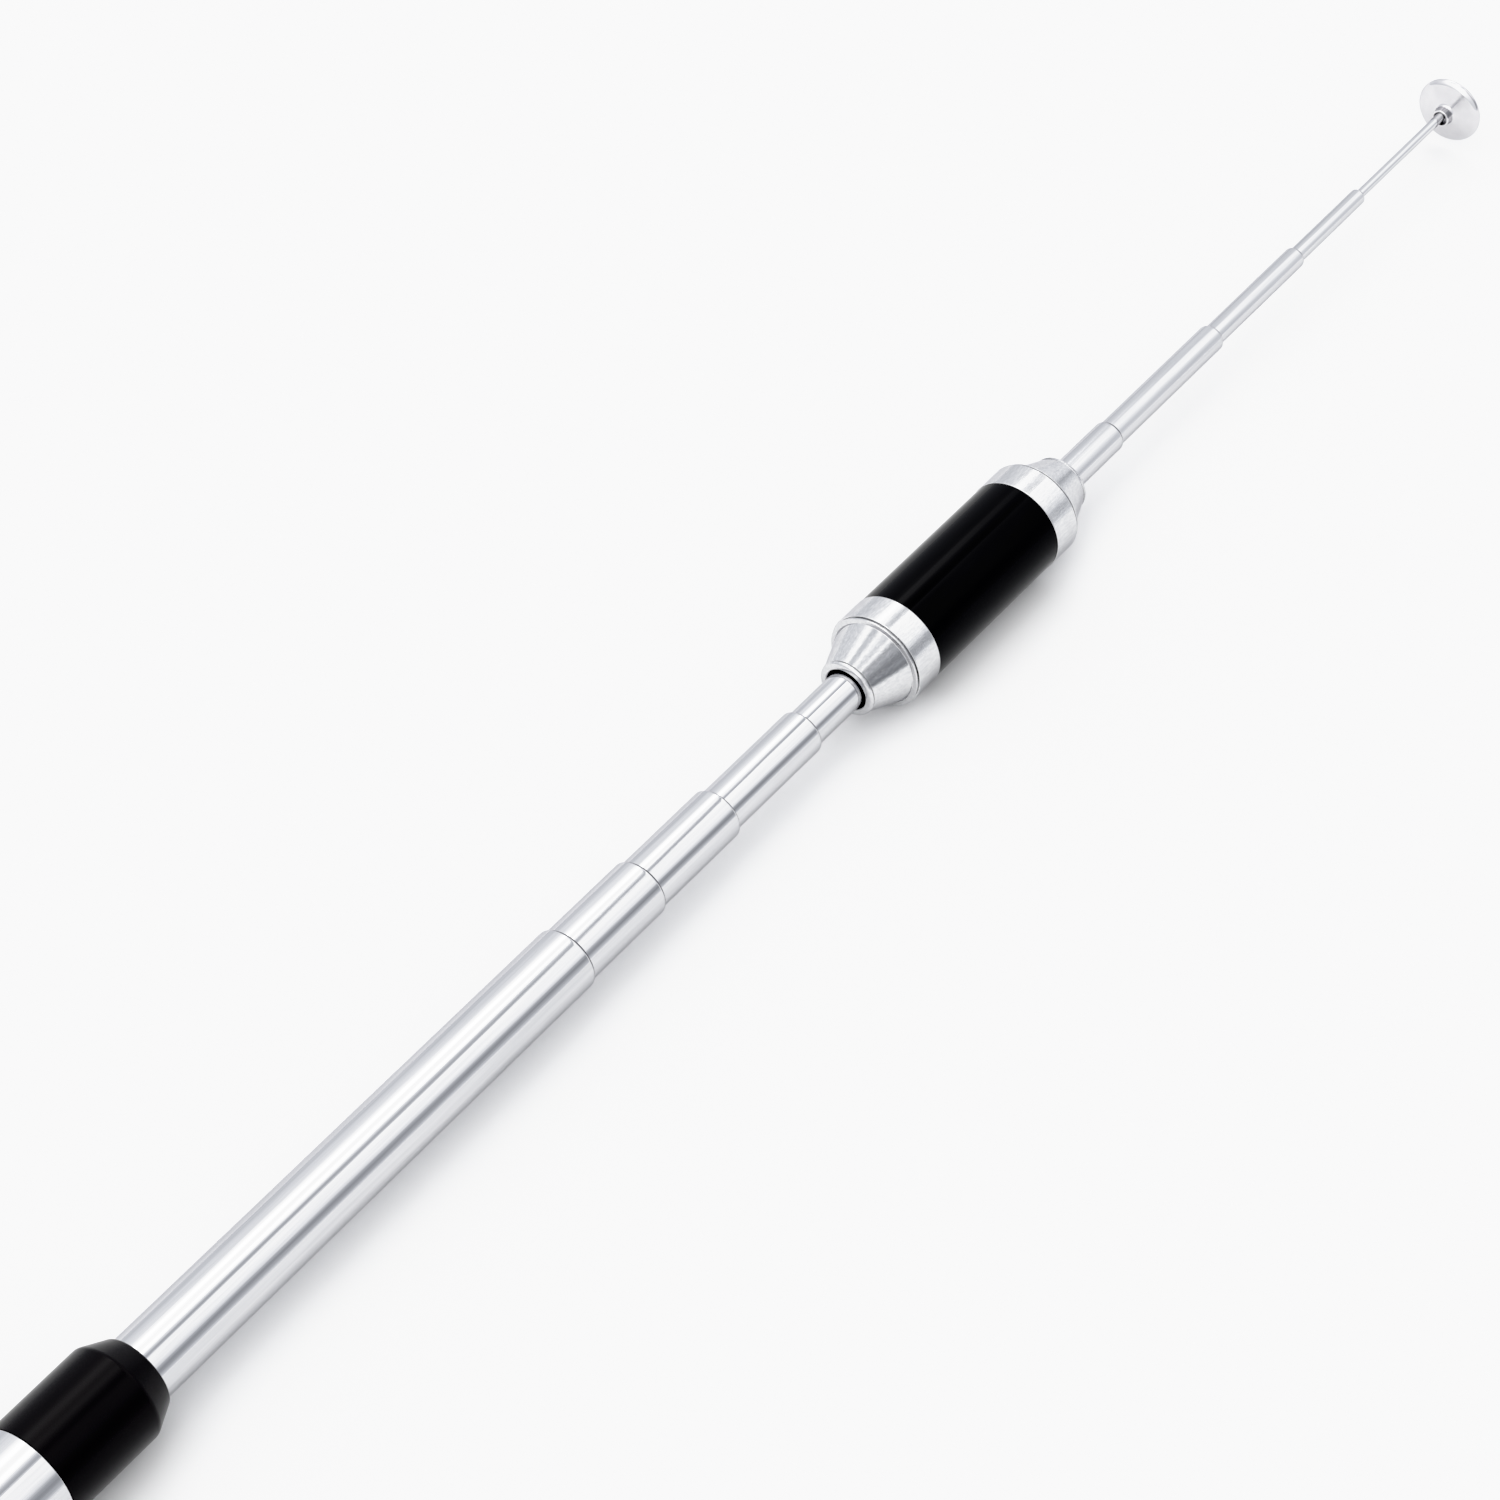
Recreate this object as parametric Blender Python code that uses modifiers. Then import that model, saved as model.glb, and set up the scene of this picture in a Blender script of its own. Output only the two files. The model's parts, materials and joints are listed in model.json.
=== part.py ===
"""Telescopic magnetic pickup tool.

A bright tube handle with a black collar holds a mast of nine telescoping tubes and a rod. A barrel
grip with two turned end caps is fixed part-way along the mast, and a round magnet head turns on the
end of the rod.

The tool lies along +X, from the tail face at the origin to the magnet's face. Lengths and stations
are in millimetres, measured from the tail face, and are scaled to metres where a mesh is made. Turned
outlines are lists of (station, radius) points that run from the tail towards the tip.
"""
from collections import namedtuple
from math import cos, pi, radians, sin, tau

import bmesh
import bpy
from mathutils import Matrix

# Scale and facets
MM = 0.001
SIDES = 24                      # sides of every turned piece, with a flat side facing down
PIN_SIDES = 16
CORNER = 1.0 / cos(pi / SIDES)  # corner radius of a polygon whose flats lie at radius 1
MERGE = 1e-6
SHARP_ANGLE = radians(32.0)
EDGE = 0.1                      # small chamfer of a turned edge

# Clearances
SEAT_GAP = 0.05                 # between pieces that are pressed or crimped together
RUN_GAP = 0.03                  # radial running clearance of a sliding or turning piece

# Handle
HANDLE_DIAMETER = 14.3
HANDLE_WALL = 0.7
HANDLE_TUBE_LENGTH = 90.0
TAIL_RIM = 3.0
TAIL_ROUNDING = 0.8
TAIL_WALL = 1.6
TAIL_FLOOR = 4.0                # thickness of the tail cap's closed end
TAIL_PLUG_LENGTH = 10.0
TAIL_PLUG_TAPER = 0.6
COLLAR_LENGTH = 18.45
COLLAR_CHAMFER_LENGTH = 3.75
COLLAR_NOSE_RADIUS = 5.4
COLLAR_NOSE_EDGE = 0.25
COLLAR_SPIGOT_LENGTH = 10.0
BUSH_LENGTH = 17.0
PLUG_REACH = 6.0                # how far the plug reaches into the first tube
PIN_DIAMETER = 2.0
PIN_FROM_FOOT = 3.0             # distance of the pin's axis from the first tube's foot
PIN_END_GAP = 0.1

# Mast: name, outer diameter, wall, length and how much of it shows at rest
Section = namedtuple("Section", "name diameter wall length showing")
SECTIONS = (
    Section("section_1", 9.6, 0.20, 124.5, 83.05),
    Section("section_2", 8.8, 0.20, 112.0, 15.7),
    Section("section_3", 8.0, 0.20, 112.0, 17.0),
    Section("section_4", 6.95, 0.20, 112.0, 19.4),
    Section("section_5", 5.95, 0.18, 165.2, 10.1),
    Section("section_6", 5.05, 0.16, 112.0, 12.9),
    Section("section_7", 4.4, 0.17, 112.0, 28.2),
    Section("section_8", 3.5, 0.18, 112.0, 24.1),
    Section("section_9", 2.65, 0.18, 112.0, 19.0),
    Section("tip_rod", 1.5, 0.75, 114.1, 25.3),
)
FOOT_FLANGE = 0.8               # length of the flange at a section's foot
LINER_LENGTH = 7.0
BEAD_LENGTH = 0.9
BEAD_CREST = 0.4                # where a bead is highest, as a share of its length
BEAD_SHARE = 0.55               # height of a bead, as a share of the room round it
MOUTH_LENGTH = 0.9              # length of the thickened wall at a tube's mouth
MOUTH_ROLL = 0.4                # length over which the outside of a mouth is rolled in
ROLL_STEPS = 3
LINER_SLOT = 0.9

# Barrel
CAP_LENGTH = 12.2
CAP_NOSE_LENGTH = 0.5           # rounded lip in front of the cone
CAP_NOSE_WIDTH = 0.9
CAP_NOSE_RADIUS = 4.5
CAP_BORE_RADIUS = 3.26
CONE_END = 6.7                  # depth, from the cap's face, where the cone ends
CONE_END_RADIUS = 6.7
SHOULDER_STEP = 0.2             # how far the shoulder lies below the ring
RING_START = 7.3                # depth where the ring starts, after a stepped shoulder
RING_RADIUS = 7.6
GROOVE_WIDTH = 0.3
GROOVE_DEPTH = 0.3
SLEEVE_LENGTH = 29.6
SLEEVE_RADIUS = 7.5
SLEEVE_WALL = 0.9
CAP_SPIGOT_LENGTH = 5.0
CAP_POCKET_RADIUS = 4.3
CAP_WEB = 1.8                   # depth of the cap's nose bore, in front of its pocket
CAP_BUSH_LENGTH = 10.0
STOP_RING_LENGTH = 2.5

# Head
HEAD_DROP = 0.38                # the loose head hangs this far below the rod's axis
HUB_RADIUS = 1.5
HUB_DEPTH = 1.5
HUB_FILLET = 0.3
DISC_RADIUS = 5.5
HEAD_LENGTH = 3.7
CUP_EDGE = 2.4                  # from the hub's end to the edge of the cup's back
CUP_ROUNDING = 0.45             # where the cup's back rounds over into its rim
FACE_ROUNDING = 0.35
POCKET_RADIUS = 4.75
POCKET_FLOOR = 2.8
CAVITY_RADIUS = 2.4
CAVITY_FLOOR = 2.0
ROD_PAST_HUB = 2.5              # how far the rod's end lies past the hub's end
ROD_COLLAR_RADIUS = 1.9
MAGNET_EDGE = 0.15

# Stations along the axis
COLLAR_REAR = TAIL_RIM + HANDLE_TUBE_LENGTH
COLLAR_FRONT = COLLAR_REAR + COLLAR_LENGTH
MAST_REAR = COLLAR_FRONT + SECTIONS[0].showing - SECTIONS[0].length
BARREL_LENGTH = 2.0 * CAP_LENGTH + SLEEVE_LENGTH
BARREL_SECTION = 4              # index of the section that carries the barrel

PART_COLLECTION = "magnetic_pickup_tool"
CUTTER_COLLECTION = "cutters"


def clear_scene():
    for obj in list(bpy.data.objects):
        bpy.data.objects.remove(obj, do_unlink=True)


def add_collection(name):
    collection = bpy.data.collections.new(name)
    bpy.context.scene.collection.children.link(collection)
    return collection


def add_material(name, colour, roughness, metallic):
    material = bpy.data.materials.new(name)
    material.use_nodes = True
    shader = material.node_tree.nodes["Principled BSDF"]
    shader.inputs["Base Color"].default_value = (*colour, 1.0)
    shader.inputs["Roughness"].default_value = roughness
    shader.inputs["Metallic"].default_value = metallic
    return material


def chrome(name):
    return add_material(name, (0.78, 0.78, 0.82), 0.12, 1.0)


def bright_aluminium(name):
    return add_material(name, (0.86, 0.86, 0.86), 0.22, 1.0)


def brass(name):
    return add_material(name, (0.72, 0.52, 0.22), 0.35, 1.0)


def black_plastic(name):
    return add_material(name, (0.012, 0.012, 0.014), 0.38, 0.0)


def nylon(name):
    return add_material(name, (0.62, 0.60, 0.54), 0.5, 0.0)


def plated_steel(name):
    return add_material(name, (0.55, 0.55, 0.57), 0.3, 1.0)


def add_frame(collection, name, station, parent):
    """Add an empty on the tool's axis that carries the pieces of one body."""
    empty = bpy.data.objects.new(name, None)
    empty.empty_display_size = 5.0 * MM
    collection.objects.link(empty)
    empty["station"] = station
    empty.parent = parent
    empty.location.z = (station - parent["station"]) * MM if parent else 0.0
    return empty


def place(obj, frame, material):
    """Put an object, whose mesh is drawn in whole-tool stations, on its body's frame."""
    obj.parent = frame
    obj.location.z = -frame["station"] * MM
    obj.data.materials.clear()
    obj.data.materials.append(material)


def turn(name, outer, inner, frame, material, collection):
    """Turn a piece from its outer outline and, where it is hollow, its inner outline."""
    outline = list(reversed(outer)) + list(inner)
    mesh = bpy.data.meshes.new(name)
    points = [(radius * CORNER * MM, 0.0, station * MM) for station, radius in outline]
    edges = [(i, i + 1) for i in range(len(points) - 1)]
    if inner:
        edges.append((len(points) - 1, 0))
    mesh.from_pydata(points, edges, [])
    obj = bpy.data.objects.new(name, mesh)
    collection.objects.link(obj)
    screw = obj.modifiers.new("turn", "SCREW")
    screw.axis = "Z"
    screw.angle = tau
    screw.steps = SIDES
    screw.render_steps = SIDES
    screw.use_merge_vertices = True
    screw.merge_threshold = MERGE
    apply_modifiers(obj)
    obj.rotation_euler.z = pi / SIDES
    place(obj, frame, material)
    return obj


def apply_modifiers(obj):
    """Keep the evaluated mesh, shaded smooth between its sharp edges."""
    depsgraph = bpy.context.evaluated_depsgraph_get()
    mesh = bpy.data.meshes.new_from_object(obj.evaluated_get(depsgraph))
    obj.modifiers.clear()
    obj.data = mesh
    mesh.shade_smooth()
    mesh.set_sharp_from_angle(angle=SHARP_ANGLE)


def cut(obj, cutter):
    boolean = obj.modifiers.new("cut_" + cutter.name, "BOOLEAN")
    boolean.operation = "DIFFERENCE"
    boolean.solver = "EXACT"
    boolean.object = cutter


def hide_cutter(obj, frame):
    obj.parent = frame
    obj.hide_render = True
    obj.display_type = "WIRE"


def add_cross_pin(name, station, diameter, length, frame, collection):
    """A round pin that crosses the axis, made along local X."""
    mesh = bpy.data.meshes.new(name)
    shape = bmesh.new()
    bmesh.ops.create_cone(shape, cap_ends=True, segments=PIN_SIDES, radius1=diameter * MM / 2,
                          radius2=diameter * MM / 2, depth=length * MM)
    shape.to_mesh(mesh)
    shape.free()
    obj = bpy.data.objects.new(name, mesh)
    collection.objects.link(obj)
    obj.parent = frame
    obj.rotation_euler.y = pi / 2
    obj.location.z = (station - frame["station"]) * MM
    return obj


def add_slot_blade(frame, collection):
    """A long flat blade on one side of the axis, which splits every liner."""
    depth = HANDLE_DIAMETER / 2
    reach = 2.0 * sum(section.length for section in SECTIONS)
    mesh = bpy.data.meshes.new("slot_blade")
    shape = bmesh.new()
    size = Matrix.Diagonal((LINER_SLOT * MM, depth * MM, reach * MM, 1.0))
    bmesh.ops.create_cube(shape, size=1.0, matrix=size)
    shape.to_mesh(mesh)
    shape.free()
    obj = bpy.data.objects.new("slot_blade", mesh)
    collection.objects.link(obj)
    obj.location.y = depth * MM / 2
    hide_cutter(obj, frame)
    return obj


def mouth_stations():
    """Station of each section's mouth at rest; the barrel lengthens the section that carries it."""
    stations = []
    station = COLLAR_FRONT
    for index, section in enumerate(SECTIONS):
        station += section.showing
        if index == BARREL_SECTION:
            station += BARREL_LENGTH
        stations.append(station)
    return stations


def bore_radius(section):
    return section.diameter / 2 - section.wall


def section_outline(index, mouth):
    """Outer and inner outlines of one tube, from its flanged foot to its rolled-in mouth."""
    section = SECTIONS[index]
    outside = section.diameter / 2
    inside = bore_radius(section)
    lip = SECTIONS[index + 1].diameter / 2 + RUN_GAP
    foot = mouth - section.length
    outer = foot_outline(index, foot)
    outer += reversed(rolled_edge(mouth, outside, MOUTH_ROLL, section.wall, -1))
    inner = [
        (foot, inside),
        (mouth - MOUTH_LENGTH, inside),
        (mouth - MOUTH_LENGTH / 2, lip),
        (mouth, lip),
    ]
    return outer, inner


def foot_outline(index, foot):
    """Outside of a section's foot: a flange and a bead, with the seat of its liner between them."""
    section = SECTIONS[index]
    outside = section.diameter / 2
    if index == 0:
        return [(foot, outside)]
    room = bore_radius(SECTIONS[index - 1]) - outside
    seat_end = foot + FOOT_FLANGE + LINER_LENGTH + 2 * SEAT_GAP
    return [
        (foot, outside + room - RUN_GAP),
        (foot + FOOT_FLANGE, outside + room - RUN_GAP),
        (foot + FOOT_FLANGE, outside),
        (seat_end, outside),
        (seat_end + BEAD_LENGTH * BEAD_CREST, outside + room * BEAD_SHARE),
        (seat_end + BEAD_LENGTH, outside),
    ]


def rolled_edge(station, radius, length, width, facing=1):
    """Quarter of an ellipse that rises by width from an end face, over a length of the outside."""
    angles = [pi / 2 * step / ROLL_STEPS for step in range(ROLL_STEPS + 1)]
    return [(station + facing * length * (1.0 - cos(angle)), radius - width * (1.0 - sin(angle)))
            for angle in angles]


def ring_outline(start, end, inside, outside):
    outer = [(start, outside), (end, outside)]
    inner = [(start, inside), (end, inside)]
    return outer, inner


def build_handle(frame, collection, cutters):
    outside = HANDLE_DIAMETER / 2
    bore = outside - HANDLE_WALL
    fit = bore - SEAT_GAP
    mast_radius = SECTIONS[0].diameter / 2

    outer, inner = ring_outline(TAIL_RIM + SEAT_GAP, COLLAR_REAR - SEAT_GAP, bore, outside)
    turn("handle_tube", outer, inner, frame, chrome("handle_tube"), collection)

    plug_end = TAIL_RIM + TAIL_PLUG_LENGTH
    plug_bore = fit - TAIL_WALL
    tail = [(0.0, 0.0)] + rolled_edge(0.0, outside, TAIL_ROUNDING, TAIL_ROUNDING)
    tail += [(TAIL_RIM, outside), (TAIL_RIM, fit), (plug_end - TAIL_PLUG_TAPER, fit),
             (plug_end, fit - TAIL_PLUG_TAPER), (plug_end, plug_bore), (TAIL_FLOOR, plug_bore), (TAIL_FLOOR, 0.0)]
    turn("tail_cap", tail, [], frame, black_plastic("tail_cap"), collection)

    collar_bore = mast_radius + SEAT_GAP
    chamfer = COLLAR_FRONT - COLLAR_CHAMFER_LENGTH
    outer = [(COLLAR_REAR - COLLAR_SPIGOT_LENGTH, fit), (COLLAR_REAR, fit), (COLLAR_REAR, outside),
             (chamfer, outside), (COLLAR_FRONT - COLLAR_NOSE_EDGE, COLLAR_NOSE_RADIUS),
             (COLLAR_FRONT, COLLAR_NOSE_RADIUS - COLLAR_NOSE_EDGE)]
    inner = [(COLLAR_REAR - COLLAR_SPIGOT_LENGTH, collar_bore), (COLLAR_FRONT, collar_bore)]
    turn("front_collar", outer, inner, frame, black_plastic("front_collar"), collection)

    bush_end = COLLAR_REAR - COLLAR_SPIGOT_LENGTH - SEAT_GAP
    bush_start = bush_end - BUSH_LENGTH
    outer, inner = ring_outline(bush_start, bush_end, collar_bore, fit)
    bush = turn("mast_bush", outer, inner, frame, bright_aluminium("mast_bush"), collection)

    plug_end = MAST_REAR + PLUG_REACH
    plug_fit = bore_radius(SECTIONS[0]) - SEAT_GAP
    outline = [(bush_start, 0.0), (bush_start, mast_radius), (MAST_REAR - SEAT_GAP, mast_radius),
               (MAST_REAR - SEAT_GAP, plug_fit), (plug_end, plug_fit), (plug_end, 0.0)]
    plug = turn("mast_plug", outline, [], frame, brass("mast_plug"), collection)

    outer, inner = section_outline(0, mouth_stations()[0])
    mast = turn(SECTIONS[0].name, outer, inner, frame, chrome(SECTIONS[0].name), collection)

    pin_station = MAST_REAR + PIN_FROM_FOOT
    pin = add_cross_pin("mast_pin", pin_station, PIN_DIAMETER, 2 * (fit - PIN_END_GAP), frame, collection)
    pin.data.materials.append(plated_steel("mast_pin"))
    hole = add_cross_pin("pin_hole", pin_station, PIN_DIAMETER + 2 * SEAT_GAP, 4 * fit, frame, cutters)
    hide_cutter(hole, frame)
    for drilled in (bush, plug, mast):
        cut(drilled, hole)


def build_section(index, mouth, frame, collection, blade):
    """One sliding tube and the split liner that grips the bore it slides in."""
    section = SECTIONS[index]
    outer, inner = section_outline(index, mouth)
    turn(section.name, outer, inner, frame, chrome(section.name), collection)
    build_liner(index, mouth, frame, collection, blade)


def build_liner(index, mouth, frame, collection, blade):
    section = SECTIONS[index]
    start = mouth - section.length + FOOT_FLANGE + SEAT_GAP
    inside = section.diameter / 2 + RUN_GAP
    outside = bore_radius(SECTIONS[index - 1]) - RUN_GAP
    outer, inner = ring_outline(start, start + LINER_LENGTH, inside, outside)
    name = section.name.replace("section", "liner").replace("tip_rod", "liner_rod")
    liner = turn(name, outer, inner, frame, brass(name), collection)
    cut(liner, blade)


def build_tip_rod(mouth, frame, collection, blade):
    """The solid rod ends inside the head, past the hub's end at its mouth station."""
    index = len(SECTIONS) - 1
    rod = SECTIONS[index]
    radius = rod.diameter / 2
    end = mouth + ROD_PAST_HUB
    foot = end - rod.length
    outer = [(foot, 0.0)] + foot_outline(index, foot)
    outer += [(end - EDGE, radius), (end, radius - EDGE), (end, 0.0)]
    turn(rod.name, outer, [], frame, chrome(rod.name), collection)
    build_liner(index, end, frame, collection, blade)
    outer, inner = ring_outline(mouth + CAVITY_FLOOR + SEAT_GAP, end - SEAT_GAP,
                                radius + RUN_GAP, ROD_COLLAR_RADIUS)
    turn("rod_collar", outer, inner, frame, plated_steel("rod_collar"), collection)


def cap_outline(face, facing):
    """Turned end cap: a cone and a grooved ring outside, a nose bore and a bush pocket inside.

    The cap's nose face is at station face, and facing is 1 where the ring lies towards the tip from
    it and -1 where it lies towards the tail.
    """
    spigot_radius = SLEEVE_RADIUS - SLEEVE_WALL - SEAT_GAP
    total = CAP_LENGTH + CAP_SPIGOT_LENGTH
    groove = RING_START - GROOVE_WIDTH
    outer = rolled_edge(0.0, CAP_NOSE_RADIUS, CAP_NOSE_LENGTH, CAP_NOSE_WIDTH)
    outer += [
        (CONE_END, CONE_END_RADIUS), (CONE_END + EDGE, RING_RADIUS - 2 * SHOULDER_STEP),
        (groove, RING_RADIUS - SHOULDER_STEP), (groove + GROOVE_WIDTH / 2, RING_RADIUS - GROOVE_DEPTH),
        (RING_START, RING_RADIUS - EDGE), (RING_START + EDGE, RING_RADIUS),
        (CAP_LENGTH - EDGE, RING_RADIUS), (CAP_LENGTH, RING_RADIUS - EDGE),
        (CAP_LENGTH, spigot_radius), (total, spigot_radius),
    ]
    inner = [
        (0.0, CAP_BORE_RADIUS), (CAP_WEB, CAP_BORE_RADIUS),
        (CAP_WEB, CAP_POCKET_RADIUS), (total, CAP_POCKET_RADIUS),
    ]
    outer = [(face + facing * depth, radius) for depth, radius in outer]
    inner = [(face + facing * depth, radius) for depth, radius in inner]
    if facing < 0:
        outer.reverse()
        inner.reverse()
    return outer, inner


def build_barrel(near_face, frame, collection):
    """Two end caps and a sleeve round the carrying section, with the pieces that lock them to it."""
    tube_radius = SECTIONS[BARREL_SECTION].diameter / 2
    far_face = near_face + BARREL_LENGTH
    for name, face, facing in (("near_cap", near_face, 1), ("far_cap", far_face, -1)):
        outer, inner = cap_outline(face, facing)
        turn(name, outer, inner, frame, bright_aluminium(name), collection)

        bush_start = face + facing * (CAP_WEB + SEAT_GAP)
        bush_end = bush_start + facing * CAP_BUSH_LENGTH
        start, end = sorted((bush_start, bush_end))
        outer, inner = ring_outline(start, end, tube_radius + RUN_GAP, CAP_POCKET_RADIUS - SEAT_GAP)
        bush_name = name.replace("cap", "bush")
        turn(bush_name, outer, inner, frame, black_plastic(bush_name), collection)

        ring_start = bush_end + facing * SEAT_GAP
        start, end = sorted((ring_start, ring_start + facing * STOP_RING_LENGTH))
        outer, inner = ring_outline(start, end, tube_radius + RUN_GAP, CAP_POCKET_RADIUS - SEAT_GAP)
        ring_name = name.replace("cap", "stop_ring")
        turn(ring_name, outer, inner, frame, brass(ring_name), collection)

    outer, inner = ring_outline(near_face + CAP_LENGTH + SEAT_GAP, far_face - CAP_LENGTH - SEAT_GAP,
                                SLEEVE_RADIUS - SLEEVE_WALL, SLEEVE_RADIUS)
    turn("barrel_sleeve", outer, inner, frame, black_plastic("barrel_sleeve"), collection)

    core_inset = CAP_WEB + CAP_BUSH_LENGTH + STOP_RING_LENGTH + 3 * SEAT_GAP
    spigot_end = CAP_LENGTH + CAP_SPIGOT_LENGTH + SEAT_GAP
    core_radius = CAP_POCKET_RADIUS - SEAT_GAP
    flange_radius = SLEEVE_RADIUS - SLEEVE_WALL - SEAT_GAP
    outer = [(near_face + core_inset, core_radius), (near_face + spigot_end, core_radius),
             (near_face + spigot_end, flange_radius), (far_face - spigot_end, flange_radius),
             (far_face - spigot_end, core_radius), (far_face - core_inset, core_radius)]
    inner = [(near_face + core_inset, tube_radius + RUN_GAP), (far_face - core_inset, tube_radius + RUN_GAP)]
    turn("barrel_core", outer, inner, frame, nylon("barrel_core"), collection)


def build_head(hub_end, frame, collection):
    """A plated steel cup that hangs loosely on the rod by its hub, and the disc magnet in its pocket."""
    hole_radius = SECTIONS[-1].diameter / 2 + HEAD_DROP + RUN_GAP
    outer = [
        (0.0, HUB_RADIUS - EDGE), (EDGE, HUB_RADIUS), (HUB_DEPTH - HUB_FILLET / 2, HUB_RADIUS),
        (HUB_DEPTH, HUB_RADIUS + HUB_FILLET / 3), (HUB_DEPTH + HUB_FILLET / 2, HUB_RADIUS + HUB_FILLET),
        (CUP_EDGE, DISC_RADIUS - CUP_ROUNDING), (CUP_EDGE + CUP_ROUNDING, DISC_RADIUS),
        (HEAD_LENGTH - FACE_ROUNDING, DISC_RADIUS), (HEAD_LENGTH, DISC_RADIUS - FACE_ROUNDING),
    ]
    inner = [
        (0.0, hole_radius), (CAVITY_FLOOR, hole_radius), (CAVITY_FLOOR, CAVITY_RADIUS),
        (POCKET_FLOOR, CAVITY_RADIUS), (POCKET_FLOOR, POCKET_RADIUS), (HEAD_LENGTH, POCKET_RADIUS),
    ]
    outer = [(hub_end + depth, radius) for depth, radius in outer]
    inner = [(hub_end + depth, radius) for depth, radius in inner]
    turn("head_cup", outer, inner, frame, chrome("head_cup"), collection)

    magnet_radius = POCKET_RADIUS - SEAT_GAP
    back = hub_end + POCKET_FLOOR + SEAT_GAP
    face = hub_end + HEAD_LENGTH
    magnet = [(back, 0.0), (back, magnet_radius), (face - MAGNET_EDGE, magnet_radius),
              (face, magnet_radius - MAGNET_EDGE), (face, 0.0)]
    turn("magnet", magnet, [], frame, plated_steel("magnet"), collection)


def build_tool():
    clear_scene()
    parts = add_collection(PART_COLLECTION)
    cutters = add_collection(CUTTER_COLLECTION)
    mouths = mouth_stations()

    handle = add_frame(parts, "handle_frame", 0.0, None)
    handle.rotation_euler.y = pi / 2
    blade = add_slot_blade(handle, cutters)
    build_handle(handle, parts, cutters)

    frame = handle
    last = len(SECTIONS) - 1
    for index in range(1, last):
        frame = add_frame(parts, SECTIONS[index].name + "_frame", mouths[index], frame)
        build_section(index, mouths[index], frame, parts, blade)
        if index == BARREL_SECTION:
            build_barrel(mouths[index] - BARREL_LENGTH, frame, parts)

    rod_frame = add_frame(parts, "tip_rod_frame", mouths[last], frame)
    build_tip_rod(mouths[last], rod_frame, parts, blade)
    head_frame = add_frame(parts, "head_frame", mouths[last], rod_frame)
    head_frame.location.x = HEAD_DROP * MM
    build_head(mouths[last], head_frame, parts)


build_tool()
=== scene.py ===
"""Looks of the telescopic magnetic pickup tool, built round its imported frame.

Lengths are in millimetres along the tool's axis, +X from the tail face, and are scaled to metres
where a mesh is made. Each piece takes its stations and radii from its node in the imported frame. The
named values below only say how its edges and surfaces are finished.
"""

import json
from math import asin, cos, hypot, pi, radians, sin, tau

import bmesh
import bpy
from mathutils import Matrix, Vector


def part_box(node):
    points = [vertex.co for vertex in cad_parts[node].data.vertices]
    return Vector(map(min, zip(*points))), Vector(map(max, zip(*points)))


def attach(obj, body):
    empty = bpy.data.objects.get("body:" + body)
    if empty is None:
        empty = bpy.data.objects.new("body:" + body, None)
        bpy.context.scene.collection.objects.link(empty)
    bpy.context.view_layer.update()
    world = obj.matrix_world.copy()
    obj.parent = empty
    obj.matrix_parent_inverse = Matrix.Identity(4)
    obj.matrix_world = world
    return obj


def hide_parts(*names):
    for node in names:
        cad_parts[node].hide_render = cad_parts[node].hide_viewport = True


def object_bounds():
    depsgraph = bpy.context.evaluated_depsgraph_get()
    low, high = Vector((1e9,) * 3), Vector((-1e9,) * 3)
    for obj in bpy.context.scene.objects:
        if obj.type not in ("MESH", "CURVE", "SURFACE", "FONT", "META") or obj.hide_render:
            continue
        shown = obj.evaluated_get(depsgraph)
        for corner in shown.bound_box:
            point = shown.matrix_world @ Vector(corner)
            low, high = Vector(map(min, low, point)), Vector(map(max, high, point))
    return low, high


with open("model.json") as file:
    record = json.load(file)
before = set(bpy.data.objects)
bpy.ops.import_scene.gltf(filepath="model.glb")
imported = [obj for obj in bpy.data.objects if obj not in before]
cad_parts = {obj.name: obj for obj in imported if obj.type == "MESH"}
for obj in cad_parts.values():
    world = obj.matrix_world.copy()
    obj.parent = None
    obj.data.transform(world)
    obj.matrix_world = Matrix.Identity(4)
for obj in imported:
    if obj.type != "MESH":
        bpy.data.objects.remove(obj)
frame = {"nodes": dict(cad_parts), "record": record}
cad_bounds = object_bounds()

# Scale and facets
MM = 0.001
CAD_FLAT = cos(pi / 24)          # flats of a 24-sided CAD piece lie at this share of its corner radius
WIDE_SIDES = 160                 # sides of the handle's and the barrel's pieces
TUBE_SIDES = 112
THIN_SIDES = 64
THIN_TUBE = 2.0                  # a tube of this radius or less is turned with the fewest sides
STATION_SLACK = 0.01             # how closely a station has to match a corner of the frame
PROBE = 0.1                      # how far beside a station a node's radius is looked up
FINE_PROBE = 0.05
ROUNDING_STEPS = 5
ROUNDING_LIMIT = 0.49            # share of an edge that the rounding of one corner may take up
SHARP_ANGLE = radians(40.0)
WALL_WEIGHT = 90                 # how strongly a piece's large walls keep their own normals

# Roundings shared by many edges, from the finest to the broadest
HAIR_EDGE = 0.02
FINE_EDGE = 0.05
THIN_EDGE = 0.06
SLIGHT_EDGE = 0.1
RIM_EDGE = 0.12
SMALL_EDGE = 0.2
BROAD_EDGE = 0.3
WIDE_EDGE = 0.4
SEAT_GAP = 0.05                  # between pieces that are pressed together

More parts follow.
